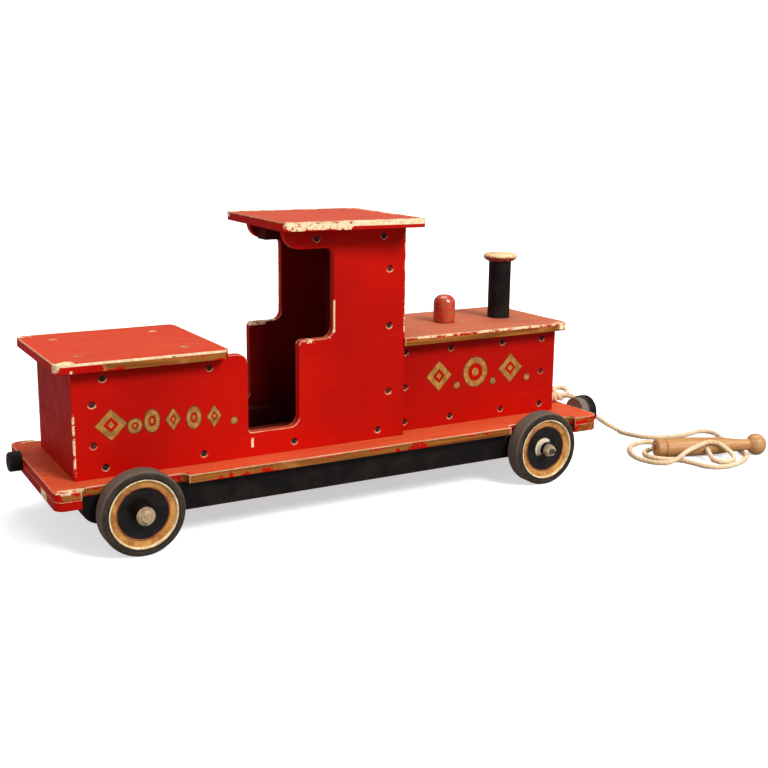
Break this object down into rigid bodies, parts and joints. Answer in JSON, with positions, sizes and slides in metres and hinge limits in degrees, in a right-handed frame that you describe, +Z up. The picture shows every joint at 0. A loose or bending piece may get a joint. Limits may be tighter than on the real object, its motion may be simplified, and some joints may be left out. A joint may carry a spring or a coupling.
{
  "type": "toy locomotive",
  "caption": "Ride-on wooden toy locomotive with an open cab, a seat box behind, a hood with dome and chimney, rubber-tyred wheels, and a pull rope wound round a turned handle.",
  "frame": {"origin": "on the floor, at the middle of the locomotive's length and width, with the rope and its handle left out", "axes": "+X is the front, the chimney end; +Y is the locomotive's left side; +Z is up"},
  "size_m": [1.1037, 0.3505, 0.3761],
  "materials": {
    "red_paint": "red gloss paint on plywood, worn through along the edges",
    "black_paint": "black satin paint on wood, rubbed",
    "bare_wood": "worn turned wood with remains of red paint",
    "batten_wood": "sawn softwood",
    "steel": "dull steel",
    "cap_metal": "dull plated steel, worn",
    "tyre_rubber": "aged black rubber",
    "disc_enamel": "gold band with a cream rim and a black centre",
    "rope_fibre": "twisted natural fibre",
    "handle_wood": "varnished turned beech, worn"
  },
  "bodies": {
    "locomotive": {"base_board": "red_paint", "front_buffer_beam": "red_paint", "rear_buffer_beam": "red_paint", "right_chassis_rail": "black_paint", "left_chassis_rail": "black_paint", "front_axle": "steel", "rear_axle": "steel", "axle_washers": "steel", "axle_caps": "cap_metal", "axle_nuts": "steel", "right_side_panel": "red_paint", "left_side_panel": "red_paint", "seat_box_rear_panel": "red_paint", "seat_lid": "red_paint", "cab_front_panel": "red_paint", "cab_roof": "red_paint", "right_hood_panel": "red_paint", "left_hood_panel": "red_paint", "hood_front_panel": "red_paint", "hood_top": "red_paint", "right_floor_batten": "batten_wood", "left_floor_batten": "batten_wood", "right_seat_batten": "batten_wood", "left_seat_batten": "batten_wood", "right_rear_post": "batten_wood", "left_rear_post": "batten_wood", "right_cab_post": "batten_wood", "left_cab_post": "batten_wood", "right_roof_batten": "batten_wood", "left_roof_batten": "batten_wood", "right_hood_floor_batten": "batten_wood", "left_hood_floor_batten": "batten_wood", "right_hood_top_batten": "batten_wood", "left_hood_top_batten": "batten_wood", "hood_posts": "batten_wood", "dome": "red_paint", "chimney_pipe": "black_paint", "chimney_cap": "bare_wood", "rear_buffer": "black_paint", "right_front_buffer": "black_paint", "left_front_buffer": "black_paint", "buffer_screws": "steel", "panel_screws": "steel", "rope_knot": "rope_fibre", "pull_rope": "rope_fibre", "pull_handle": "handle_wood"},
    "front_right_wheel": {"front_right_tyre": "tyre_rubber", "front_right_wheel_disc": "disc_enamel", "front_right_hub_bush": "steel"},
    "front_left_wheel": {"front_left_tyre": "tyre_rubber", "front_left_wheel_disc": "disc_enamel", "front_left_hub_bush": "steel"},
    "rear_right_wheel": {"rear_right_tyre": "tyre_rubber", "rear_right_wheel_disc": "disc_enamel", "rear_right_hub_bush": "steel"},
    "rear_left_wheel": {"rear_left_tyre": "tyre_rubber", "rear_left_wheel_disc": "disc_enamel", "rear_left_hub_bush": "steel"}
  },
  "joints": [
    {"name": "front_right_wheel_spin", "type": "hinge", "parent": "locomotive", "child": "front_right_wheel", "pos_m": [0.282, -0.123, 0.051], "axis": [0, 1, 0], "continuous": true},
    {"name": "front_left_wheel_spin", "type": "hinge", "parent": "locomotive", "child": "front_left_wheel", "pos_m": [0.282, 0.123, 0.051], "axis": [0, 1, 0], "continuous": true},
    {"name": "rear_right_wheel_spin", "type": "hinge", "parent": "locomotive", "child": "rear_right_wheel", "pos_m": [-0.298, -0.123, 0.051], "axis": [0, 1, 0], "continuous": true},
    {"name": "rear_left_wheel_spin", "type": "hinge", "parent": "locomotive", "child": "rear_left_wheel", "pos_m": [-0.298, 0.123, 0.051], "axis": [0, 1, 0], "continuous": true}
  ]
}
